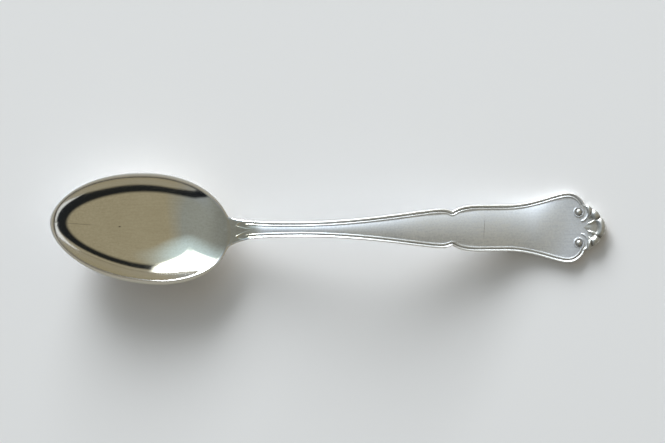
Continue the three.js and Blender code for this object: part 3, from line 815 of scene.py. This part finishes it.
def top_grid(outline):
    """Places on half of the handle's top in rows inward from its outline, how far in they are, and the
    edge of the field."""
    places = np.concatenate([
        round_places(0, OUTER_THREAD, OUTER_PLACES),
        round_places(OUTER_THREAD, THREAD_GROOVE, GROOVE_PLACES)[1:],
        round_places(INNER_FROM, INNER_THREAD, INNER_PLACES)[1:],
    ])
    room = np.minimum(1, BORDER_SHARE * np.maximum(outline[:, 1], NARROWEST) / BORDER_WIDTH)
    border = outline[:, None] + inward_ways(outline)[:, None] * (places * room[:, None])[..., None]
    inside = border[:, -1]
    shares = np.linspace(0, 1, FIELD_PLACES)[1:]
    field = lerp(inside[:, None], middle_line(inside)[:, None], shares[:, None])
    distance = np.tile(places, (len(outline), 1))
    beyond = np.full(field.shape[:2], BORDER_WIDTH)
    return np.concatenate([border, field], axis=1), np.concatenate([distance, beyond], axis=1), inside


def top_marks(x, y, distance, raised):
    """Painted shade in the threads' groove and at their foot, round the beads, in the neck and towards
    the shell, the neck's and the border's polish, and the rubbed edge."""
    # Painted shade in the groove between the threads, at the inner thread's foot, in a ring round each
    # bead's foot and towards the shell
    groove = mound(distance, OUTER_THREAD + THREAD_GROOVE / 2, GROOVE_SHADE_SPREAD) * raised
    foot = FOOT_SHADE * mound(distance, BORDER_WIDTH, FOOT_SHADE_SPREAD) * raised
    foot = foot * (distance < BORDER_WIDTH)
    eye = EYE_SHADE * mound(np.hypot(x - BEAD_X, y - BEAD_Y), BEAD_RADIUS, EYE_SHADE_SPREAD)
    fan = FAN_SHADE * smoothstep(x, *FAN_SHADE_BEGINS)
    border = BORDER_POLISH * (1 - smoothstep(distance, BORDER_WIDTH - THREAD_GROOVE, BORDER_WIDTH))
    return {
        "painted_shade": np.clip(groove + foot + eye + fan + neck_shade(x, distance), 0, 1),
        "polish": np.maximum(1 - smoothstep(x, *POLISH_FADE), border),
        "rubbed": 1 - smoothstep(distance, *RUBBED_EDGE),
    }


def make_top(outline):
    """Half of the handle's top with its threads, lugs and curls, and the marks on it."""
    xy, distance, inside = top_grid(outline)
    x, y = xy[..., 0], xy[..., 1]
    corner_end = tongue_start(outline)
    begun = smoothstep(outline[:, 0], *THREADS_FROM)[:, None]
    stopped = smoothstep(np.arange(len(outline)), corner_end - STOP_STEPS, corner_end)[:, None]
    raised = begun * (1 - stopped)
    threads = thread_rise(distance) * raised
    relief = np.where(x > LEVEL_X, np.maximum(threads, scroll_relief(xy)), threads)
    relief = relief + np.where(x < LUGS_TO, lug_relief(xy), 0)
    crown = field_crown(inside[:corner_end], x, y) * begun
    z = field_z(x) + crown + relief - edge_roll(distance)
    return np.stack([x, y, z], axis=-1), top_marks(x, y, distance, raised)


def make_under(outline):
    """Half of the handle's underside, from its rounded edge to its middle."""
    edge_shares = np.linspace(0, UNDER_EDGE_SHARE, UNDER_EDGE_PLACES)
    shares = np.concatenate([edge_shares, np.linspace(UNDER_EDGE_SHARE, 1, UNDER_PLACES)[1:]])
    spine = middle_line(outline)
    xy = lerp(outline[:, None], spine[:, None], shares[:, None])
    distance = np.linalg.norm(outline - spine, axis=1)[:, None] * shares
    z = underside_z(xy[..., 0], 1 - shares) + UNDER_ROUND * rounding(distance, UNDER_ROUND)
    return np.concatenate([xy, z[..., None]], axis=-1)


def make_handle():
    """Rings round the handle, row by row along its outline, from both halves."""
    outline = handle_outline()
    top, half_marks = make_top(outline)
    under = make_under(outline)
    half = np.concatenate([top[:, ::-1], under], axis=1)
    mirrored = half[:, ::-1] * [1, -1, 1]
    rings = np.concatenate([half, mirrored[:, 1:-1]], axis=1)
    rings[..., 1] += lean(rings[..., 0])
    marks = {}
    for name, values in half_marks.items():
        marked = np.concatenate([values[:, ::-1], np.zeros(under.shape[:2])], axis=1)
        marks[name] = np.concatenate([marked, marked[:, ::-1][:, 1:-1]], axis=1).ravel()
    rows, columns = rings.shape[:2]
    faces = ring_faces(rows, columns)
    faces.append(list(range(columns)))
    return rings.reshape(-1, 3), faces, marks


# Shell and beads


def shell_height(out, from_edge, across, rise):
    """Flutes between slim ridges, ending in knobs that are round outside and run out inside."""
    slim = RIDGE_RISE * half_round(np.minimum(1, (1 - np.abs(across)) / RIDGE_WIDTH))
    slim = slim * smoothstep(out, 0, RIDGE_START) * (1 - out ** 2)
    place = 1 - 2 * from_edge / KNOB_DEPTH
    profile = np.where(place > 0, half_round(place), half_round(place) ** KNOB_RUNOUT)
    knob = rise * profile * half_round(across)
    return lerp(SHELL_LIP, SHELL_FLOOR, smoothstep(out, 0, LIP_RUN)) + soft_max(slim, knob, KNOB_BLEND)


def shell_shade(from_edge, across):
    """Painted shade in the valleys between the knobs and at the knobs' feet."""
    valley = VALLEY_SHADE * np.abs(across) ** VALLEY_SHARPNESS
    valley = valley * (1 - smoothstep(from_edge, *VALLEY_ENDS))
    foot = KNOB_SHADE * mound(from_edge, KNOB_DEPTH, KNOB_SHADE_SPREAD) * half_round(across)
    return np.clip(valley + foot, 0, 1)


def make_shell():
    """Sections along the fan's rays: out along the seat, up at the edge and in over the flutes."""
    angle, reach, across, rise = shell_rays(SHELL_LOBE_STEPS).T[..., None]
    inner = SHELL_INNER + SHELL_SIDE_INNER * np.abs(angle / angle.max()) ** SHELL_SIDE_TURN
    seat = [0, 1]
    outs = np.concatenate([seat, np.sin(np.linspace(math.pi / 2, 0, SHELL_ROWS))])
    from_edge = (1 - outs) * (reach - inner)
    height = shell_height(outs, from_edge, across, rise)
    painted_shade = shell_shade(from_edge, across)
    height[:, :len(seat)] = 0
    painted_shade[:, :len(seat)] = 0
    turn = angle * lerp(RIDGE_GATHER, 1, smoothstep(outs, 0, 1))
    radius = lerp(inner, reach, outs)
    sections = np.stack([FAN_X + radius * np.cos(turn), radius * np.sin(turn), SEAT_Z + height], axis=-1)
    rows, columns = sections.shape[:2]
    faces = ring_faces(rows, columns)
    faces.append(list(range(columns)))
    faces.append(list(range((rows - 1) * columns, rows * columns)))
    return sections.reshape(-1, 3), faces, {"painted_shade": painted_shade.ravel()}


def make_bead(side):
    """A domed bead on a flat seat, with painted shade darkening it towards its foot."""
    turn = np.linspace(0, math.pi / 2, BEAD_ROWS)[:-1]
    spin = np.linspace(0, 2 * math.pi, BEAD_STEPS, endpoint=False)
    radius = BEAD_RADIUS * np.cos(turn)
    height = BEAD_RISE * np.sin(turn)
    x = BEAD_X + radius[:, None] * np.cos(spin)
    y = side * BEAD_Y + radius[:, None] * np.sin(spin)
    z = np.repeat((SEAT_Z + height)[:, None], BEAD_STEPS, axis=1)
    points = np.stack([x, y, z], axis=-1).reshape(-1, 3)
    crest = [[BEAD_X, side * BEAD_Y, SEAT_Z + BEAD_RISE]]
    faces = ring_faces(len(turn), BEAD_STEPS)
    faces += cap_faces(len(points) - BEAD_STEPS, BEAD_STEPS, len(points))
    faces.append(list(range(BEAD_STEPS)))
    low = np.concatenate([np.repeat(1 - np.sin(turn), BEAD_STEPS), [0]])
    return np.concatenate([points, crest]), faces, {"painted_shade": BEAD_SHADE * low ** 2}


# Silver


class Nodes:
    """Short names for making the nodes of one material, lamp or world."""

    def __init__(self, tree):
        self.tree = tree
        tree.nodes.clear()

    def add(self, kind, **settings):
        node = self.tree.nodes.new(kind)
        for name, value in settings.items():
            setattr(node, name, value)
        return node

    def link(self, output, socket):
        self.tree.links.new(output, socket)

    def lead_out(self, shader, kind):
        """Leads a shader to an output node."""
        self.link(shader.outputs[0], self.add(kind).inputs["Surface"])

    def math(self, operation, a, b):
        node = self.add("ShaderNodeMath", operation=operation)
        for socket, value in zip(node.inputs, (a, b)):
            if isinstance(value, (int, float)):
                socket.default_value = value
            else:
                self.link(value, socket)
        return node.outputs[0]

    def noise(self, coordinates, scale, detail, stretch=(1, 1, 1), turn=0.0):
        """Noise on object coordinates, stretched and turned about the vertical."""
        mapping = self.add("ShaderNodeMapping")
        mapping.inputs["Rotation"].default_value = (0, 0, turn)
        mapping.inputs["Scale"].default_value = stretch
        self.link(coordinates, mapping.inputs["Vector"])
        noise = self.add("ShaderNodeTexNoise")
        noise.inputs["Scale"].default_value = scale
        noise.inputs["Detail"].default_value = detail
        self.link(mapping.outputs[0], noise.inputs["Vector"])
        return noise.outputs["Fac"]

    def spot(self, coordinates, place, turn, half_length, half_width):
        """1 in the middle of a long spot on the surface, 0 from its edge on."""
        mapping = self.add("ShaderNodeMapping", vector_type="TEXTURE")
        mapping.inputs["Location"].default_value = (SEAM.x + place[0] * MM, SEAM.y + place[1] * MM, 0)
        mapping.inputs["Rotation"].default_value = (0, 0, turn)
        mapping.inputs["Scale"].default_value = (half_length * MM, half_width * MM, 1)
        self.link(coordinates, mapping.inputs["Vector"])
        length = self.add("ShaderNodeVectorMath", operation="LENGTH")
        self.link(mapping.outputs[0], length.inputs[0])
        return self.ramp(length.outputs["Value"], (MARK_CORE, 1.0), (1.0, 0.0))

    def ramp(self, factor, *stops):
        """Colours or greys between given places of a factor."""
        node = self.add("ShaderNodeValToRGB")
        elements = node.color_ramp.elements
        while len(elements) < len(stops):
            elements.new(0.5)
        for element, (place, colour) in zip(elements, stops):
            element.position = place
            grey = isinstance(colour, (int, float))
            element.color = (colour, colour, colour, 1) if grey else (*colour, 1)
        self.link(factor, node.inputs["Fac"])
        return node.outputs["Color"]

    def between(self, factor, low, high):
        """0 up to a low place of a factor, 1 from a high one on."""
        return self.ramp(factor, (low, 0.0), (high, 1.0))

    def attribute(self, name):
        return self.add("ShaderNodeAttribute", attribute_name=name).outputs["Fac"]

    def bump(self, height, distance, normal=None):
        node = self.add("ShaderNodeBump")
        node.inputs["Strength"].default_value = 1.0
        node.inputs["Distance"].default_value = distance
        self.link(height, node.inputs["Height"])
        if normal is not None:
            self.link(normal, node.inputs["Normal"])
        return node.outputs["Normal"]

    def mix(self, factor, a, b):
        """Colour between a and b."""
        node = self.add("ShaderNodeMix", data_type="RGBA")
        self.link(factor, node.inputs[0])
        for socket, value in zip(node.inputs[MIX_COLOURS], (a, b)):
            if isinstance(value, tuple):
                socket.default_value = (*value, 1)
            else:
                self.link(value, socket)
        return node.outputs[MIX_RESULT]


def new_material(name):
    """An empty material and its nodes."""
    material = bpy.data.materials.new(name)
    material.use_nodes = True
    return material, Nodes(material.node_tree)


def worn_surface(nodes, coordinates):
    """How worn the silver is: patches, streaks along the piece and grain."""
    noises = [nodes.noise(coordinates, *noise) for noise in (PATCHES, STREAKS, GRAIN)]
    patches, streaks, grain = (nodes.math("MULTIPLY", *part) for part in zip(noises, WORN_SHARES))
    return nodes.math("ADD", nodes.math("ADD", patches, streaks), grain)


def shade_and_mark_places(nodes, coordinates, marks):
    """Speckled painted shade in the hollows and creases, and single marks."""
    speckle = nodes.ramp(nodes.noise(coordinates, *SPECKLES), *SPECKLE_RANGE)
    shade_and_marks = nodes.math("MULTIPLY", nodes.attribute("painted_shade"), speckle)
    for mark in marks:
        shade_and_marks = nodes.math("MAXIMUM", shade_and_marks, nodes.spot(coordinates, *mark))
    return shade_and_marks


def silver_colour(nodes, worn, shade_and_marks, bright, dull):
    """Worn silver, filmed where it is polished, then rubbed, then darkened by painted shade and the
    single marks.
    """
    low, high = WORN_RANGE
    colour = nodes.ramp(worn, (low, dull), (high, bright))
    filmed = nodes.ramp(worn, (low, FILMED_DULL), (high, FILMED_SILVER))
    colour = nodes.mix(nodes.attribute("polish"), colour, filmed)
    colour = nodes.mix(nodes.attribute("rubbed"), colour, RUBBED_SILVER)
    return nodes.mix(shade_and_marks, colour, SHADE_AND_MARK_COLOUR)


def silver_roughness(nodes, worn, shade_and_marks, kept, roughness):
    """Rougher where the silver is dull, where shade or marks are painted, and where it is worn at the
    rim, and less where it is polished.
    """
    low, high = ROUGH_RANGE
    bright_rough, dull_rough = roughness
    rough = nodes.ramp(nodes.math("MULTIPLY", worn, worn), (low, dull_rough), (high, bright_rough))
    rough = nodes.math("ADD", rough, nodes.math("MULTIPLY", shade_and_marks, SHADE_AND_MARK_ROUGHNESS))
    wear = nodes.math("MULTIPLY", nodes.attribute("wear"), WORN_ROUGHNESS)
    return nodes.math("MULTIPLY", nodes.math("MAXIMUM", rough, wear), kept)


def silver_normal(nodes, coordinates, kept, depth):
    """Scratches along and across the piece, fewer where it is polished, and shallow dents."""
    lines = nodes.ramp(nodes.noise(coordinates, *SCRATCHES), *SCRATCH_LINES)
    cross_lines = nodes.ramp(nodes.noise(coordinates, *CROSS_SCRATCHES), *CROSS_LINES)
    normal = nodes.bump(nodes.math("MULTIPLY", lines, kept), depth)
    normal = nodes.bump(nodes.math("MULTIPLY", cross_lines, kept), depth * CROSS_DEPTH, normal)
    return nodes.bump(nodes.noise(coordinates, *DENTS), DENT_DEPTH, normal)


def silver_material(name, bright, dull, roughness, scratch_depth, marks=()):
    """Silver with dulled patches and streaks, scratches along the piece and painted shade in its
    hollows.
    """
    material, nodes = new_material(name)
    coordinates = nodes.add("ShaderNodeTexCoord").outputs["Object"]
    worn = worn_surface(nodes, coordinates)
    shade_and_marks = shade_and_mark_places(nodes, coordinates, marks)
    kept = nodes.math("SUBTRACT", 1.0, nodes.math("MULTIPLY", nodes.attribute("polish"), NECK_POLISH))
    shader = nodes.add("ShaderNodeBsdfPrincipled")
    shader.inputs["Metallic"].default_value = 1.0
    nodes.link(silver_colour(nodes, worn, shade_and_marks, bright, dull), shader.inputs["Base Color"])
    nodes.link(silver_roughness(nodes, worn, shade_and_marks, kept, roughness), shader.inputs["Roughness"])
    nodes.link(silver_normal(nodes, coordinates, kept, scratch_depth), shader.inputs["Normal"])
    nodes.lead_out(shader, "ShaderNodeOutputMaterial")
    return material


def add_piece(name, node, made, material):
    """A fine piece in the frame that stands for a node of the solid model."""
    points, faces, marks = made
    mesh = bpy.data.meshes.new(name)
    mesh.from_pydata((points * MM + np.array(SEAM)).tolist(), [], faces)
    for mark, values in marks.items():
        mesh.attributes.new(mark, "FLOAT", "POINT").data.foreach_set("value", values.astype(np.float32))
    shape = bmesh.new()
    shape.from_mesh(mesh)
    bmesh.ops.remove_doubles(shape, verts=shape.verts, dist=MERGE)
    bmesh.ops.dissolve_degenerate(shape, edges=shape.edges, dist=MERGE)
    bmesh.ops.recalc_face_normals(shape, faces=shape.faces)
    shape.to_mesh(mesh)
    shape.free()
    mesh.shade_smooth()
    mesh.set_sharp_from_angle(angle=SHARP)
    mesh.materials.append(material)
    piece = bpy.data.objects.new(name, mesh)
    bpy.context.scene.collection.objects.link(piece)
    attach(piece, "root")
    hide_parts(node)


bowl_silver = silver_material("bowl_silver", *BOWL_FINISH, BOWL_MARKS)
handle_silver = silver_material("handle_silver", *HANDLE_FINISH, HANDLE_MARKS)
ornament_silver = silver_material("ornament_silver", *ORNAMENT_FINISH)

add_piece("polished_bowl", "bowl", make_bowl(), bowl_silver)
add_piece("threaded_handle", "handle", make_handle(), handle_silver)
add_piece("fluted_shell", "shell_finial", make_shell(), ornament_silver)
add_piece("left_bead", "left_scroll_bead", make_bead(-1), ornament_silver)
add_piece("right_bead", "right_scroll_bead", make_bead(1), ornament_silver)


# Studio


def make_floor():
    """A matt floor under the lowest place of the solids."""
    bpy.ops.mesh.primitive_plane_add(size=FLOOR_SIZE, location=(0, 0, cad_low.z))
    floor = bpy.context.object
    floor.name = "floor"
    material, nodes = new_material("pale_floor")
    shader = nodes.add("ShaderNodeBsdfPrincipled")
    shader.inputs["Base Color"].default_value = (*FLOOR_COLOUR, 1)
    shader.inputs["Roughness"].default_value = 1.0
    shader.inputs["Specular IOR Level"].default_value = 0.0
    nodes.lead_out(shader, "ShaderNodeOutputMaterial")
    floor.data.materials.append(material)


def make_world():
    """A soft room: dark walls with a pale foot on the window's side, a warm ceiling that is greyer on
    the bowl's side, and a glow by the window."""
    world = bpy.data.worlds.new("room")
    bpy.context.scene.world = world
    world.use_nodes = True
    nodes = Nodes(world.node_tree)
    direction = nodes.add("ShaderNodeTexCoord").outputs["Generated"]
    parts = nodes.add("ShaderNodeSeparateXYZ")
    nodes.link(direction, parts.inputs[0])
    x, y, z = parts.outputs
    far = nodes.between(nodes.math("MULTIPLY", x, -1.0), *FAR_SIDE)
    ceiling = nodes.mix(far, CEILING, FAR_CEILING)
    towards = nodes.add("ShaderNodeVectorMath", operation="DOT_PRODUCT")
    nodes.link(direction, towards.inputs[0])
    towards.inputs[1].default_value = GLOW_SIDE
    glow = nodes.between(towards.outputs["Value"], *GLOW_REACH)
    ceiling = nodes.mix(glow, ceiling, GLOW)
    aside = nodes.math("ABSOLUTE", y, 0.0)
    level = nodes.math("SUBTRACT", z, nodes.math("MULTIPLY", aside, WALL_TILT))
    foot = nodes.math("SUBTRACT", nodes.math("MULTIPLY", y, FOOT_TILT), z)
    wall = nodes.mix(nodes.between(foot, *FOOT_TOP), WALL_DARK, CEILING)
    room = nodes.mix(nodes.between(level, *WALL_TOP), wall, ceiling)
    background = nodes.add("ShaderNodeBackground")
    background.inputs["Strength"].default_value = 1.0
    nodes.link(room, background.inputs["Color"])
    nodes.lead_out(background, "ShaderNodeOutputWorld")


def make_window():
    """One wide window with soft edges, on the picture's upper side."""
    lamp = bpy.data.lights.new("window", "AREA")
    lamp.shape = "RECTANGLE"
    lamp.size, lamp.size_y = WINDOW_SIZE
    lamp.energy = WINDOW_POWER
    lamp.color = WINDOW_COLOUR
    lamp.use_nodes = True
    nodes = Nodes(lamp.node_tree)
    pane = nodes.add("ShaderNodeSeparateXYZ")
    nodes.link(nodes.add("ShaderNodeNewGeometry").outputs["Parametric"], pane.inputs[0])
    across = nodes.ramp(pane.outputs["X"], *WINDOW_ACROSS)
    up = nodes.ramp(pane.outputs["Y"], *WINDOW_UP)
    emission = nodes.add("ShaderNodeEmission")
    nodes.link(nodes.math("MULTIPLY", across, up), emission.inputs["Strength"])
    nodes.lead_out(emission, "ShaderNodeOutputLight")
    holder = bpy.data.objects.new("window", lamp)
    out = Vector((math.cos(WINDOW_TURN), math.sin(WINDOW_TURN), 0))
    along = Vector((out.y, -out.x, 0))
    holder.location = out * WINDOW_DISTANCE + along * WINDOW_SHIFT + Vector((0, 0, WINDOW_HEIGHT))
    holder.rotation_euler = (-out).to_track_quat("-Z", "Y").to_euler()
    holder.visible_camera = False
    bpy.context.scene.collection.objects.link(holder)


def make_camera():
    """Straight above, with the photo's framing."""
    data = bpy.data.cameras.new("camera")
    data.sensor_width = SENSOR
    data.lens = SENSOR * CAMERA_DISTANCE / FRAME_WIDTH
    camera = bpy.data.objects.new("camera", data)
    place = Vector(CAMERA_TARGET) + Vector((0, 0, CAMERA_DISTANCE))
    camera.matrix_world = Matrix.LocRotScale(place, Euler((0, 0, CAMERA_ROLL)), None)
    bpy.context.scene.collection.objects.link(camera)
    bpy.context.scene.camera = camera


make_floor()
make_world()
make_window()
make_camera()
bpy.context.scene.view_settings.view_transform = "Standard"
